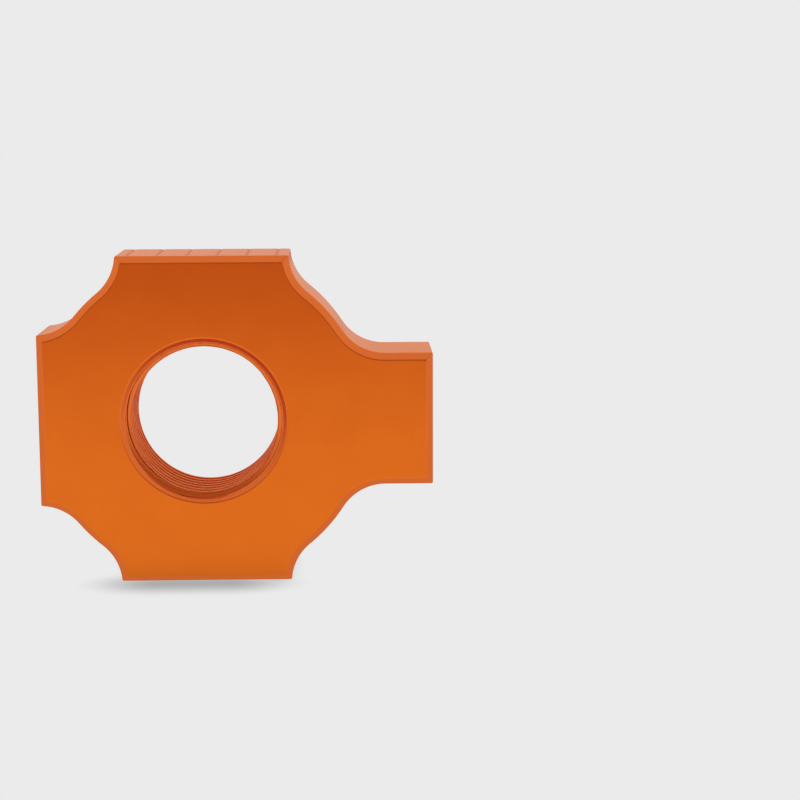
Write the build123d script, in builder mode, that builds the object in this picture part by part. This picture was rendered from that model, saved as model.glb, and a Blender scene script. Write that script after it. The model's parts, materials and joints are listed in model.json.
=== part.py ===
"""Axle block of a motorcycle chain adjuster.

One milled aluminium block. The rear axle passes through its bore, its top and bottom flats
slide between the rails of the swingarm slot, and the adjuster bolt pushes on the end of its
tongue. X runs from the bore to the tongue, Y from the outer face to the inner face, Z up.
The origin is on the bore's axis, halfway through the block.
"""

import os
from math import radians, sqrt, tan

from build123d import *

# Driving dimensions, in millimetres
thickness = 16.0  # outer face to inner face
bore_diameter = 24.8  # over the crests of its fine thread, which takes a 27 mm axle end
countersink_width = 0.95  # cone at each end of the bore, over the depth of the thread
countersink_angle = 60.0  # degrees from the bore's axis
mouth_chamfer = 0.75  # 45 degree chamfer from the countersink to the face
round_wall = 15.5  # metal between the bore and the round corners
guide_reach = 27.8  # bore axis to the top flat and to the bottom flat
guide_width = 29.0  # length of the top and bottom flats along X
rear_reach = 27.9  # bore axis to the rear flat
rear_width = 29.2  # height of the rear flat
tongue_reach = 38.7  # bore axis to the end of the tongue
tongue_height = 22.5
hollow_radius = 8.6  # scallops between the flats, the round corners and the tongue
outer_chamfer = 1.1  # 45 degree chamfer round the outer face
inner_edge_break = 0.5  # 45 degree break round the inner face
mark_pitch = 5.0  # index marks across the top flat
mark_width = 0.8
mark_depth = 0.1
mark_margin = 1.5  # plain flat left beyond the last mark

# Worked-out sizes
bore_radius = bore_diameter / 2
countersink_radius = bore_radius + countersink_width
mouth_radius = countersink_radius + mouth_chamfer
mouth_depth = mouth_chamfer + countersink_width / tan(radians(countersink_angle))
round_radius = bore_radius + round_wall
hollow_reach = round_radius + hollow_radius  # bore axis to the centre of each hollow
outer_y = -thickness / 2
inner_y = thickness / 2
mark_count = int((guide_width - 2 * mark_margin) / mark_pitch) + 1


def hollow_from_corner(corner, towards):
    """Centre of the hollow that starts at a flat's corner and runs out onto the round.

    towards is +1 where the round lies clockwise of the corner and -1 where it lies the other way.
    """
    out = corner.normalized()
    along = (hollow_reach**2 - hollow_radius**2 + corner.length**2) / (2 * corner.length)
    across = sqrt(hollow_reach**2 - along**2)
    return out * along + Vector(out.Y, -out.X) * across * towards


def run_out(centre):
    """Point where a hollow meets the round, with a common tangent."""
    return centre.normalized() * round_radius


def hollow_arc(start, centre, end):
    """Arc of a hollow about its centre, as seen from the bore."""
    middle = (start + end) / 2
    return ThreePointArc(start, centre + (middle - centre).normalized() * hollow_radius, end)


def round_arc(start, end):
    """Arc of the round corner between two hollows, about the bore's axis."""
    return ThreePointArc(start, (start + end).normalized() * round_radius, end)


# Corners and hollows of the upper half of the outline, in X and Z
tongue_corner = Vector(tongue_reach, tongue_height / 2)
front_corner = Vector(guide_width / 2, guide_reach)
back_corner = Vector(-guide_width / 2, guide_reach)
rear_corner = Vector(-rear_reach, rear_width / 2)

tongue_hollow_z = tongue_corner.Y + hollow_radius
tongue_hollow = Vector(sqrt(hollow_reach**2 - tongue_hollow_z**2), tongue_hollow_z)
tongue_root = Vector(tongue_hollow.X, tongue_corner.Y)
front_hollow = hollow_from_corner(front_corner, +1)
back_hollow = hollow_from_corner(back_corner, -1)
rear_hollow = hollow_from_corner(rear_corner, +1)

with BuildPart() as adjuster_block:
    # Block with its tongue, scalloped corners and guide flats
    with BuildSketch(Plane.XZ) as block_outline:
        with BuildLine() as upper_half:
            Line((tongue_reach, 0), tongue_corner)
            Line(tongue_corner, tongue_root)
            hollow_arc(tongue_root, tongue_hollow, run_out(tongue_hollow))
            round_arc(run_out(tongue_hollow), run_out(front_hollow))
            hollow_arc(run_out(front_hollow), front_hollow, front_corner)
            Line(front_corner, back_corner)
            hollow_arc(back_corner, back_hollow, run_out(back_hollow))
            round_arc(run_out(back_hollow), run_out(rear_hollow))
            hollow_arc(run_out(rear_hollow), rear_hollow, rear_corner)
            Line(rear_corner, (-rear_reach, 0))
            Line((-rear_reach, 0), (tongue_reach, 0))
        make_face()
        mirror(about=Plane.XZ)
    extrude(amount=thickness / 2, both=True)

    # Chamfer round the outer face and a small edge break round the inner face
    chamfer(adjuster_block.faces().sort_by(Axis.Y)[0].edges(), outer_chamfer)
    chamfer(adjuster_block.faces().sort_by(Axis.Y)[-1].edges(), inner_edge_break)

    # Axle bore with a countersink and a chamfer at each end, turned about the axle's axis
    with BuildSketch(Plane.XY) as bore_section:
        with BuildLine() as bore_wall:
            Polyline(
                (0, outer_y),
                (mouth_radius, outer_y),
                (countersink_radius, outer_y + mouth_chamfer),
                (bore_radius, outer_y + mouth_depth),
                (bore_radius, inner_y - mouth_depth),
                (countersink_radius, inner_y - mouth_chamfer),
                (mouth_radius, inner_y),
                (0, inner_y),
                close=True,
            )
        make_face()
    revolve(axis=Axis.Y, mode=Mode.SUBTRACT)

    # Index marks engraved across the top flat with a pointed cutter
    with BuildSketch(Plane.XZ) as mark_section:
        with Locations((0, guide_reach)):
            with GridLocations(mark_pitch, mark_pitch, mark_count, 1):
                Polygon((-mark_width / 2, 0), (0, -mark_depth), (mark_width / 2, 0), align=None)
    extrude(amount=thickness / 2, both=True, mode=Mode.SUBTRACT)

adjuster_block.part.label = "adjuster_block"

os.makedirs("parts", exist_ok=True)
export_step(adjuster_block.part, "parts/adjuster_block.step")
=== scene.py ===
"""Studio scene of the axle block of a motorcycle chain adjuster.

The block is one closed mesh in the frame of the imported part: X from the bore to the tongue, Y from
the outer face to the inner face, Z up. Sizes are in millimetres until the mesh is made.
"""

import json
from math import acos, asin, atan2, cos, dist, pi, radians, sin, sqrt, tan

import bpy
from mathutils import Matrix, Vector


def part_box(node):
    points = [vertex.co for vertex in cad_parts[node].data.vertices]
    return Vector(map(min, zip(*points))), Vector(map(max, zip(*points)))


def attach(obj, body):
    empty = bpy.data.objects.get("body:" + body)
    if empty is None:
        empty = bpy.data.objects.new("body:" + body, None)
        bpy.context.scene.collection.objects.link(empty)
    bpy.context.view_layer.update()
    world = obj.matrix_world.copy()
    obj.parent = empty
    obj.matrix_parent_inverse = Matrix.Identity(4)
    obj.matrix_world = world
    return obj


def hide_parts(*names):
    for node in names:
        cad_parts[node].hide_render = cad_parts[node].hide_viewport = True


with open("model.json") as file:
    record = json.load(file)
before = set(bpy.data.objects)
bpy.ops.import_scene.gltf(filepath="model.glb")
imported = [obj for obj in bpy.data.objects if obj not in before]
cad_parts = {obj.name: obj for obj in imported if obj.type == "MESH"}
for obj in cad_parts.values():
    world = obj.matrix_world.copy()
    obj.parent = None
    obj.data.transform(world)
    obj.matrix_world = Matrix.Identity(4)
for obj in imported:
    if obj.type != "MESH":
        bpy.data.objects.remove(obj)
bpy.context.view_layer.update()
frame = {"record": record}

MM = 0.001

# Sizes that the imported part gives
block_low, block_high = (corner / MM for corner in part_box("adjuster_block"))
mounts = {mount["name"]: mount for mount in frame["record"]["mounts"]}
outer_y = block_low.y
inner_y = block_high.y
guide_reach = block_high.z
rear_reach = -block_low.x
tongue_reach = block_high.x
bore_radius = mounts["axle_bore"]["dims"]["r_mm"]

# Driving dimensions of the block's outline and edges
round_wall = 15.5  # metal between the bore and the round corners
guide_width = 29.0  # length of the top and bottom flats along X
rear_width = 29.2  # height of the rear flat
tongue_height = 22.5
hollow_radius = 8.6  # scallops between the flats, the round corners and the tongue
outer_chamfer = 1.1  # 45 degree chamfer round the outer face
inner_edge_break = 0.5  # 45 degree break round the inner face
countersink_width = 0.95  # cone at each end of the bore, over the depth of the thread
countersink_angle = 60.0  # degrees from the bore's axis
mouth_chamfer = 0.75  # 45 degree chamfer from the countersink to the face
mark_pitch = 5.0  # index marks across the top flat
mark_width = 0.8
mark_depth = 0.1
mark_margin = 1.5  # plain flat left beyond the last mark

# Easing of the edges by tumbling
edge_ease = 0.12  # between machined faces
corner_ease = 0.3  # at the corners of the outline

# Fine right-handed thread in the bore
thread_pitch = 2.0
thread_crest = thread_pitch / 4  # width of the flat on a crest
thread_root = thread_pitch / 8  # width of the flat at the bottom of the groove
thread_flank = 30.0  # degrees between a flank and a plane across the axis
thread_start = 0.44  # part of a turn that the thread is turned about the axis

# Faces of the mesh
ease_steps = 4  # across an eased edge or corner
ease_lead = 0.12  # width of the row beside an eased edge
tongue_steps = 6  # along a side of the tongue, and along half of its end
hollow_steps = 16
front_round_steps = 10
back_round_steps = 6
rear_steps = 8  # along half of the rear flat
chamfer_steps = 5
side_steps = 8  # through the block's thickness
break_steps = 3
mouth_steps = 4
cone_steps = 12  # across a countersink
thread_steps = 20  # to one pitch of the thread
face_band = 2.0  # width of the band beside a face's outer edge
bore_band = 1.5  # width of the band beside the bore's mouth
band_steps = 2
face_steps = 4  # across a face, between its two bands

# Worked-out sizes
round_radius = bore_radius + round_wall
hollow_reach = round_radius + hollow_radius  # bore axis to the centre of each hollow
mark_count = int((guide_width - 2 * mark_margin) / mark_pitch) + 1
mark_places = [(i - (mark_count - 1) / 2) * mark_pitch for i in range(mark_count)]
countersink_radius = bore_radius + countersink_width
mouth_radius = countersink_radius + mouth_chamfer
mouth_depth = mouth_chamfer + countersink_width / tan(radians(countersink_angle))
flank_width = (thread_pitch - thread_crest - thread_root) / 2
thread_depth = flank_width / tan(radians(thread_flank))
wall_length = inner_y - outer_y - 2 * mouth_depth
wall_steps = round(wall_length / thread_pitch * thread_steps)
face_land = outer_chamfer + face_band
bore_land = mouth_radius + bore_band


def hollow_from_corner(corner, towards):
    """Centre of the hollow that starts at a flat's corner and runs out onto the round.

    towards is +1 where the round lies clockwise of the corner and -1 where it lies the other way.
    """
    out = corner.normalized()
    along = (hollow_reach**2 - hollow_radius**2 + corner.length_squared) / (2 * corner.length)
    across = sqrt(hollow_reach**2 - along**2)
    return out * along + Vector((out.y, -out.x)) * across * towards


# Centres of the hollows in the upper half of the outline, in X and Z
tongue_hollow_z = tongue_height / 2 + hollow_radius
tongue_hollow = Vector((sqrt(hollow_reach**2 - tongue_hollow_z**2), tongue_hollow_z))
front_hollow = hollow_from_corner(Vector((guide_width / 2, guide_reach)), +1)
rear_hollow = hollow_from_corner(Vector((-rear_reach, rear_width / 2)), +1)


def shares(count, length, lead_in, lead_out):
    """Even steps from 0 to 1, with one more step close to an end that meets an eased edge."""
    steps = [i / count for i in range(count + 1)]
    if lead_in:
        steps.insert(1, lead_in / length)
    if lead_out:
        steps.insert(-1, 1 - lead_out / length)
    return steps


def between(start, end, share):
    """Point part of the way from start to end."""
    return tuple(a + (b - a) * share for a, b in zip(start, end))


def straight(start, end, count, lead_in=0, lead_out=0):
    """Points along a flat."""
    steps = shares(count, dist(start, end), lead_in, lead_out)
    return [between(start, end, share) for share in steps]


def arc(centre, radius, start, end, count, lead_out=0):
    """Points along an arc between two bearings."""
    steps = shares(count, abs(end - start) * radius, 0, lead_out)
    turns = [start + (end - start) * share for share in steps]
    return [(centre[0] + radius * cos(turn), centre[1] + radius * sin(turn)) for turn in turns]


def eased_corner(before, corner, after):
    """Points of the small curve that takes the sharpness off a corner."""
    curve = []
    for i in range(ease_steps + 1):
        share = i / ease_steps
        curve.append(between(between(before, corner, share), between(corner, after, share), share))
    return curve


def bearing(point):
    """Angle of a point about the bore's axis."""
    return atan2(point[1], point[0])


def guide_stations(end, squeeze):
    """Places along a guide flat: at its ends, across each index mark and between the marks."""
    half = mark_width / 2
    across_mark = [-half - ease_lead, -half, -half + ease_lead / 2, -ease_lead / 2]
    across_mark += [0.0] + [-place for place in reversed(across_mark)]
    stations = {place + step for place in mark_places for step in across_mark}
    stations |= {place + mark_pitch / 2 for place in mark_places[:-1]}
    return [end] + [place * squeeze for place in sorted(stations, reverse=True)] + [-end]


def guide_corner(inset):
    """Corner between the front hollow and a guide flat, and where its easing ends on both."""
    radius = hollow_radius + inset
    top = guide_reach - inset
    corner_bearing = pi - asin((top - front_hollow.y) / radius)
    corner = (front_hollow.x + radius * cos(corner_bearing), top)
    ease_bearing = corner_bearing + corner_ease / radius
    return corner, (corner[0] - corner_ease, top), ease_bearing


def half_outline(inset):
    """Half of the block's outline moved in by inset, from the tongue's end to the rear flat."""
    radius = hollow_radius + inset
    reach = round_radius - inset
    tongue_end = tongue_reach - inset
    tongue_top = tongue_height / 2 - inset
    tongue_stop = (tongue_end, tongue_top - corner_ease)
    tongue_start = (tongue_end - corner_ease, tongue_top)
    tongue_root = (tongue_hollow.x, tongue_top)
    tongue_turn = bearing(tongue_hollow)
    front_turn = bearing(front_hollow)
    rear_turn = bearing(rear_hollow)
    corner, guide_start, guide_bearing = guide_corner(inset)
    rear = inset - rear_reach
    rear_bearing = 2 * pi - acos((rear - rear_hollow.x) / radius)
    rear_corner = (rear, rear_hollow.y + radius * sin(rear_bearing))
    rear_start = (rear, rear_corner[1] - corner_ease)
    rear_ease = rear_bearing + corner_ease / radius
    squeeze = min(1, guide_start[0] / guide_corner(mark_depth)[1][0])

    tongue_flat = straight((tongue_end, 0), tongue_stop, tongue_steps, lead_out=ease_lead)
    tongue_edge = eased_corner(tongue_flat[-1], (tongue_end, tongue_top), tongue_start)
    tongue_side = straight(tongue_start, tongue_root, tongue_steps, lead_in=ease_lead)
    tongue_curve = arc(tongue_hollow, radius, 1.5 * pi, pi + tongue_turn, hollow_steps)
    front_round = arc((0, 0), reach, tongue_turn, front_turn, front_round_steps)
    front_curve = arc(
        front_hollow, radius, pi + front_turn, guide_bearing, hollow_steps, ease_lead
    )
    guide_edge = eased_corner(front_curve[-1], corner, guide_start)
    guide = [(place, guide_start[1]) for place in guide_stations(guide_start[0], squeeze)]
    back_edge = [(-x, z) for x, z in reversed(guide_edge)]
    back_curve = [(-x, z) for x, z in reversed(front_curve)]
    back_round = arc((0, 0), reach, pi - front_turn, rear_turn, back_round_steps)
    rear_curve = arc(rear_hollow, radius, pi + rear_turn, rear_ease, hollow_steps, ease_lead)
    rear_edge = eased_corner(rear_curve[-1], rear_corner, rear_start)
    rear_flat = straight(rear_start, (rear, 0), rear_steps, lead_in=ease_lead)

    points = tongue_flat
    for run in (
        tongue_edge, tongue_side, tongue_curve, front_round, front_curve, guide_edge, guide,
        back_edge, back_curve, back_round, rear_curve, rear_edge, rear_flat,
    ):
        points += run[1:]
    return points


def in_mark(x, z):
    """1 in the middle of an index mark, 0 at its sides and on plain metal."""
    if z < guide_reach - 2 * mark_depth or abs(x) > guide_width / 2 - mark_margin:
        return 0
    nearest = min(abs(x - place) for place in mark_places)
    return max(0, 1 - nearest / (mark_width / 2))


def outline(inset):
    """Whole outline moved in by inset, with the index marks in its upper guide flat."""
    half = half_outline(inset)
    upper = [(x, min(z, guide_reach - mark_depth * in_mark(x, guide_reach))) for x, z in half]
    lower = [(x, -z) for x, z in reversed(half[1:-1])]
    return upper + lower


def eased_section(corners, divisions, cuts):
    """Section through the edges: straight runs with an eased corner at each inner point.

    Returns (reach, y, cut) rows, with cut 1 on a run that was cut after the faces were blasted.
    """
    rows = []
    start = corners[0]
    for i, end in enumerate(corners[1:]):
        after = corners[i + 2] if i + 2 < len(corners) else None
        stop = between(end, corners[i], edge_ease / dist(end, corners[i])) if after else end
        run = straight(start, stop, divisions[i], ease_lead if i else 0, ease_lead if after else 0)
        rows += [(reach, y, cuts[i]) for reach, y in run]
        if after:
            start = between(end, after, edge_ease / dist(end, after))
            curve = eased_corner(stop, end, start)[1:-1]
            rows += [(reach, y, (cuts[i] + cuts[i + 1]) / 2) for reach, y in curve]
    return rows


# Sections through the edges: inset from the outline and Y, then distance from the axis and Y
outer_section = eased_section(
    [
        (face_land, outer_y),
        (outer_chamfer, outer_y),
        (0, outer_y + outer_chamfer),
        (0, inner_y - inner_edge_break),
        (inner_edge_break, inner_y),
        (face_land, inner_y),
    ],
    [band_steps, chamfer_steps, side_steps, break_steps, band_steps],
    [0, 1, 0, 1, 0],
)
bore_section = eased_section(
    [
        (bore_land, inner_y),
        (mouth_radius, inner_y),
        (countersink_radius, inner_y - mouth_chamfer),
        (bore_radius, inner_y - mouth_depth),
        (bore_radius, outer_y + mouth_depth),
        (countersink_radius, outer_y + mouth_chamfer),
        (mouth_radius, outer_y),
        (bore_land, outer_y),
    ],
    [band_steps, mouth_steps, cone_steps, wall_steps, cone_steps, mouth_steps, band_steps],
    [0, 1, 1, 1, 1, 1, 0],
)
bearings = [bearing(point) for point in outline(0)]


def block_ring(inset, y):
    """Ring of points round the block's sides or on the outer part of a face."""
    return [(x, y, z) for x, z in outline(inset)]


def thread_reach(y, turn):
    """Reach of the thread's surface from the bore's axis, at a depth and a bearing."""
    turns = (y - outer_y) / thread_pitch + turn / (2 * pi) + thread_start
    from_crest = abs(turns - round(turns)) * thread_pitch
    flank = (from_crest - thread_crest / 2) / flank_width
    return bore_radius + thread_depth * min(1, max(0, flank))


def bore_ring(radius, y):
    """Ring of points about the bore's axis, sunk where the thread cuts deeper than radius."""
    ring = []
    for turn in bearings:
        reach = max(radius, thread_reach(y, turn))
        ring.append((reach * cos(turn), y, reach * sin(turn)))
    return ring


def face_rings(start, end):
    """Rings across a flat face between the outline's band and the bore's band."""
    return [
        [between(a, b, i / face_steps) for a, b in zip(start, end)] for i in range(1, face_steps)
    ]


def build_block():
    """One closed mesh: outer face, chamfer, sides, inner face, bore and back to the outer face."""
    inner_rings = face_rings(block_ring(face_land, inner_y), bore_ring(bore_land, inner_y))
    outer_rings = face_rings(bore_ring(bore_land, outer_y), block_ring(face_land, outer_y))
    rings = [block_ring(inset, y) for inset, y, _ in outer_section] + inner_rings
    rings += [bore_ring(radius, y) for radius, y, _ in bore_section] + outer_rings
    cuts = [cut for _, _, cut in outer_section] + [0] * len(inner_rings)
    cuts += [cut for _, _, cut in bore_section] + [0] * len(outer_rings)

    around = len(bearings)
    vertices = [Vector(point) * MM for ring in rings for point in ring]
    faces = []
    for j in range(len(rings)):
        here = j * around
        there = (j + 1) % len(rings) * around
        for i in range(around):
            ahead = (i + 1) % around
            faces.append((here + i, there + i, there + ahead, here + ahead))

    mesh = bpy.data.meshes.new("axle_block")
    mesh.from_pydata(vertices, [], faces)
    mesh.shade_smooth()
    cut = mesh.attributes.new("cut", "FLOAT", "POINT")
    cut.data.foreach_set("value", [value for value in cuts for _ in range(around)])
    mark = mesh.attributes.new("mark", "FLOAT", "POINT")
    mark.data.foreach_set("value", [in_mark(x, z) for ring in rings for x, _, z in ring])
    mesh.validate()
    block = bpy.data.objects.new("axle_block", mesh)
    bpy.context.scene.collection.objects.link(block)
    return block


def node(tree, kind, **values):
    """Adds a shader node and sets its properties and the named inputs."""
    made = tree.nodes.new(kind)
    for name, value in values.items():
        if hasattr(made, name):
            setattr(made, name, value)
        else:
            made.inputs[name.replace("_", " ")].default_value = value
    return made


def enabled(plugs, name):
    """First plug of that name that is in use."""
    return next(plug for plug in plugs if plug.name == name and plug.enabled)


def layer(tree, kind, base, value, share):
    """Lays a value or a colour over a base, by a linked share."""
    mix = node(tree, "ShaderNodeMix", data_type=kind)
    enabled(mix.inputs, "B").default_value = value
    if isinstance(base, bpy.types.NodeSocket):
        tree.links.new(base, enabled(mix.inputs, "A"))
    else:
        enabled(mix.inputs, "A").default_value = base
    tree.links.new(share, enabled(mix.inputs, "Factor"))
    return enabled(mix.outputs, "Result")


# Finish of the anodised metal
dye_deep = (0.87, 0.181, 0.0160, 1)
dye_full = (0.90, 0.192, 0.0172, 1)
dye_cut_highlight = (0.88, 0.186, 0.0380, 1)  # paler and whiter on the chamfers, countersinks and bore: painted highlight
dye_mark_shade = (0.76, 0.150, 0.0170, 1)  # darker in the engraved index marks: painted shade of the shallow grooves
dye_speck = (0.42, 0.075, 0.0120, 1)
glance_tint = (1.0, 0.80, 0.61, 1)  # colour of the metal seen at a glancing angle
metal_share = 0.80  # the rest of the light is scattered inside the dyed layer
cloud_scale = 140.0  # patches of deeper and fuller dye to a metre
cloud_deep = 0.3  # level of the patches' noise at which the dye is deepest
cloud_full = 0.7  # and at which it is fullest
speck_scale = 420.0  # cells to a metre, a few of which hold a dark speck
speck_size = 0.10  # of a cell
speck_share = 0.05  # of all cells
blast_scale = 5200.0  # pits of the blasting to a metre
blast_depth = 0.03
blast_strength = 0.06
satin_low = 0.22  # roughness of the blasted faces, from the smoothest spots
satin_high = 0.27  # to the roughest
cut_roughness = 0.24
mark_roughness = 0.36


def anodised_orange():
    """Satin orange anodising on blasted aluminium, with painted highlight on cut edges and painted
    shade in engraved marks.
    """
    material = bpy.data.materials.new("anodised_orange")
    material.use_nodes = True
    tree = material.node_tree
    link = tree.links.new
    metal = tree.nodes["Principled BSDF"]
    metal.inputs["Metallic"].default_value = metal_share
    metal.inputs["Specular IOR Level"].default_value = 0.0
    metal.inputs["Specular Tint"].default_value = glance_tint
    place = node(tree, "ShaderNodeTexCoord").outputs["Object"]
    cut = node(tree, "ShaderNodeAttribute", attribute_name="cut").outputs["Fac"]
    mark = node(tree, "ShaderNodeAttribute", attribute_name="mark").outputs["Fac"]

    # Dye in soft patches
    cloud = node(tree, "ShaderNodeTexNoise", Scale=cloud_scale, Detail=3.0, Roughness=0.55)
    dye = node(tree, "ShaderNodeValToRGB")
    deep, full = dye.color_ramp.elements
    deep.position, deep.color = cloud_deep, dye_deep
    full.position, full.color = cloud_full, dye_full
    link(place, cloud.inputs["Vector"])
    link(cloud.outputs["Fac"], dye.inputs["Fac"])

    # A few dark specks in the dye
    cells = node(tree, "ShaderNodeTexVoronoi", Scale=speck_scale)
    pick = node(tree, "ShaderNodeSeparateColor")
    chosen = node(tree, "ShaderNodeMath", operation="LESS_THAN")
    chosen.inputs[1].default_value = speck_share
    near = node(
        tree, "ShaderNodeMapRange", interpolation_type="SMOOTHSTEP",
        From_Max=speck_size, To_Min=1.0, To_Max=0.0,
    )
    speck = node(tree, "ShaderNodeMath", operation="MULTIPLY")
    link(place, cells.inputs["Vector"])
    link(cells.outputs["Color"], pick.inputs["Color"])
    link(pick.outputs["Red"], chosen.inputs[0])
    link(cells.outputs["Distance"], near.inputs["Value"])
    link(chosen.outputs["Value"], speck.inputs[0])
    link(near.outputs["Result"], speck.inputs[1])

    # Painted highlight: the cut faces are made paler and whiter
    colour = layer(tree, "RGBA", dye.outputs["Color"], dye_cut_highlight, cut)
    # Painted shade: the index marks are made darker
    colour = layer(tree, "RGBA", colour, dye_mark_shade, mark)
    colour = layer(tree, "RGBA", colour, dye_speck, speck.outputs["Value"])
    link(colour, metal.inputs["Base Color"])

    # Fine pits of the blasting
    blast = node(tree, "ShaderNodeTexNoise", Scale=blast_scale, Detail=2.0, Roughness=0.6)
    satin = node(tree, "ShaderNodeMapRange", To_Min=satin_low, To_Max=satin_high)
    grain = node(tree, "ShaderNodeBump", Strength=blast_strength, Distance=blast_depth * MM)
    link(place, blast.inputs["Vector"])
    link(blast.outputs["Fac"], satin.inputs["Value"])
    link(blast.outputs["Fac"], grain.inputs["Height"])
    rough = layer(tree, "FLOAT", satin.outputs["Result"], cut_roughness, cut)
    rough = layer(tree, "FLOAT", rough, mark_roughness, mark)
    link(rough, metal.inputs["Roughness"])
    link(grain.outputs["Normal"], metal.inputs["Normal"])
    return material


block = build_block()
block.data.materials.append(anodised_orange())
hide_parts("adjuster_block")
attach(block, "root")

# Studio light: a white tent all round the table, with its dark opening in front
page_white = 0.83  # the plain pale ground that the camera sees
tent_light = 0.82
opening_light = (0.37, 0.25, 0.22, 1)
opening_height = 20.0  # degrees above level that the opening's middle lies
opening_dark = 36.0  # degrees from its middle to where the tent's light begins
opening_edge = 62.0  # and to where the tent has its full light


def grey(level):
    """Colour of a plain grey."""
    return (level, level, level, 1)


def show(tree, out, seen, given):
    """Shows one light to the camera and gives another to the metal."""
    ray = node(tree, "ShaderNodeLightPath")
    choose = node(tree, "ShaderNodeMixShader")
    tree.links.new(ray.outputs["Is Camera Ray"], choose.inputs["Fac"])
    tree.links.new(given.outputs[0], choose.inputs[1])
    tree.links.new(seen.outputs[0], choose.inputs[2])
    tree.links.new(choose.outputs["Shader"], out.inputs["Surface"])


def studio_light():
    """Light of the tent, darker towards its opening."""
    world = bpy.data.worlds.new("studio_light")
    world.use_nodes = True
    tree = world.node_tree
    tree.nodes.clear()
    link = tree.links.new
    opening = radians(opening_height)
    direction = node(tree, "ShaderNodeTexCoord")
    towards = node(tree, "ShaderNodeVectorMath", operation="DOT_PRODUCT")
    towards.inputs[1].default_value = (0, -cos(opening), sin(opening))
    away = node(
        tree, "ShaderNodeMapRange", interpolation_type="SMOOTHSTEP",
        From_Min=cos(radians(opening_dark)), From_Max=cos(radians(opening_edge)),
    )
    link(direction.outputs["Generated"], towards.inputs[0])
    link(towards.outputs["Value"], away.inputs["Value"])
    tent = layer(tree, "RGBA", opening_light, grey(tent_light), away.outputs["Result"])
    given = node(tree, "ShaderNodeBackground")
    link(tent, given.inputs["Color"])
    seen = node(tree, "ShaderNodeBackground", Color=grey(page_white))
    show(tree, node(tree, "ShaderNodeOutputWorld"), seen, given)
    bpy.context.scene.world = world


# Table of pale paper that glows as painted light, with the block's soft shadow painted on it
table_radius = 900.0
table_steps = 96
table_light = 0.905  # painted light: the glow it gives to the metal in front of the block
table_back = 0.74  # and behind it, dimmer: painted shade
table_shade = 0.70  # and right under it, dimmer still: painted shade
table_shade_reach = 40.0  # from the block's middle to the full light
far_start = 150.0  # distance in front or behind at which the painted glow begins to fade
far_end = 620.0
# painted light: far out the glow turns dim and red
far_tint = (0.52, 0.07, 0.34, 1)
shadow_middle = (-2.2, -9.0)  # middle of the block's painted soft shadow, in front of the block
shadow_flat = (6.0, 0.0)  # half of the even middle of the shadow, sideways and forwards
shadow_soft = (15.0, 9.6)  # from there to its outer end
contact_flat = (11.0, 7.0)  # fainter painted shade all round the flat that the block stands on
contact_soft = (6.0, 7.0)
contact_share = 0.6
shadow_depth = 0.5
shadow_in_metal = 0.08  # depth of the painted shadow as the metal mirrors it


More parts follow.
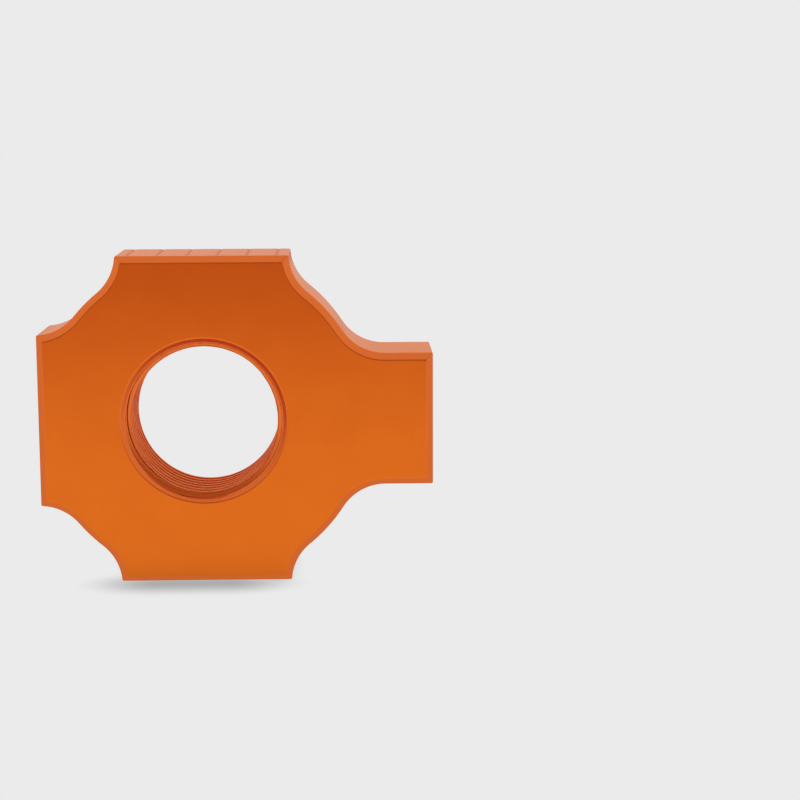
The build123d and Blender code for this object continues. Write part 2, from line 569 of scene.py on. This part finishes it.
def lit_paper():
    """Paper that glows softly as painted light, with a short soft shadow painted in front of the
    block.
    """
    material = bpy.data.materials.new("lit_paper")
    material.use_nodes = True
    tree = material.node_tree
    tree.nodes.clear()
    link = tree.links.new
    place = node(tree, "ShaderNodeTexCoord")
    split = node(tree, "ShaderNodeSeparateXYZ")
    link(place.outputs["Object"], split.inputs["Vector"])

    def worked(operation, first, second=0):
        """Result of a sum on two values, each a number or a linked value."""
        made = node(tree, "ShaderNodeMath", operation=operation)
        for plug, value in zip(made.inputs, (first, second)):
            if isinstance(value, bpy.types.NodeSocket):
                link(value, plug)
            else:
                plug.default_value = value
        return made.outputs["Value"]

    def apart(middle, flat, soft):
        """Distance past the even middle of a patch, as a part of its soft edge."""
        squares = []
        for axis, start, half, edge in zip("XY", middle, flat, soft):
            past = worked("ABSOLUTE", worked("SUBTRACT", split.outputs[axis], start * MM))
            past = worked("MAXIMUM", worked("SUBTRACT", past, half * MM), 0)
            squares.append(worked("POWER", worked("DIVIDE", past, edge * MM), 2))
        return worked("SQRT", worked("ADD", *squares))

    def eased(value, start, end, first, last):
        """Smooth change from first to last while the value goes from start to end."""
        made = node(
            tree, "ShaderNodeMapRange", interpolation_type="SMOOTHSTEP",
            From_Min=start, From_Max=end, To_Min=first, To_Max=last,
        )
        link(value, made.inputs["Value"])
        return made.outputs["Result"]

    # What the camera sees: even white with the painted shadow
    shadow = eased(apart(shadow_middle, shadow_flat, shadow_soft), 0, 1, 1, 0)
    contact = eased(apart((0, 0), contact_flat, contact_soft), 0, 1, contact_share, 0)
    dark = worked("MAXIMUM", shadow, contact)
    lit = worked("SUBTRACT", 1, worked("MULTIPLY", dark, shadow_depth))
    seen = node(tree, "ShaderNodeEmission")
    link(worked("MULTIPLY", lit, page_white), seen.inputs["Strength"])

    # What the metal mirrors: a painted glow, dimmer under and behind the block, dim and red far out
    depth = split.outputs["Y"]
    reach = table_shade_reach * MM
    in_front = eased(depth, -reach, 0, table_light, table_shade)
    behind = eased(depth, 0, reach, 0, table_back - table_shade)
    level = worked("ADD", in_front, behind)
    mirrored = worked("SUBTRACT", 1, worked("MULTIPLY", dark, shadow_in_metal))
    far = eased(worked("ABSOLUTE", depth), far_start * MM, far_end * MM, 0, 1)
    given = node(tree, "ShaderNodeEmission")
    link(layer(tree, "RGBA", grey(1), far_tint, far), given.inputs["Color"])
    link(worked("MULTIPLY", mirrored, level), given.inputs["Strength"])
    show(tree, node(tree, "ShaderNodeOutputMaterial"), seen, given)
    return material


def lit_table():
    """Round table at the height of the flat that the block stands on."""
    rim = [2 * pi * i / table_steps for i in range(table_steps)]
    edge = [(table_radius * cos(turn), table_radius * sin(turn), -guide_reach) for turn in rim]
    mesh = bpy.data.meshes.new("lit_table")
    mesh.from_pydata([Vector(point) * MM for point in edge], [], [tuple(range(table_steps))])
    mesh.materials.append(lit_paper())
    table = bpy.data.objects.new("lit_table", mesh)
    bpy.context.scene.collection.objects.link(table)


# Camera, from the lines of the block's edges: in front, a little above and to the tongue's side
camera_place = (24.04, -333.05, 54.92)
camera_tilt = (80.988, 0.200, -1.626)  # degrees
camera_lens = 87.81
camera_sensor = 36.0
camera_near = 10.0
camera_far = 20000.0


def studio_camera():
    """Camera at the place from which the block is shown."""
    data = bpy.data.cameras.new("studio_camera")
    data.sensor_width = camera_sensor
    data.lens = camera_lens
    data.clip_start = camera_near * MM
    data.clip_end = camera_far * MM
    camera = bpy.data.objects.new("studio_camera", data)
    camera.location = Vector(camera_place) * MM
    camera.rotation_euler = [radians(angle) for angle in camera_tilt]
    bpy.context.scene.collection.objects.link(camera)
    bpy.context.scene.camera = camera


studio_light()
lit_table()
studio_camera()
bpy.context.scene.view_settings.view_transform = "Standard"
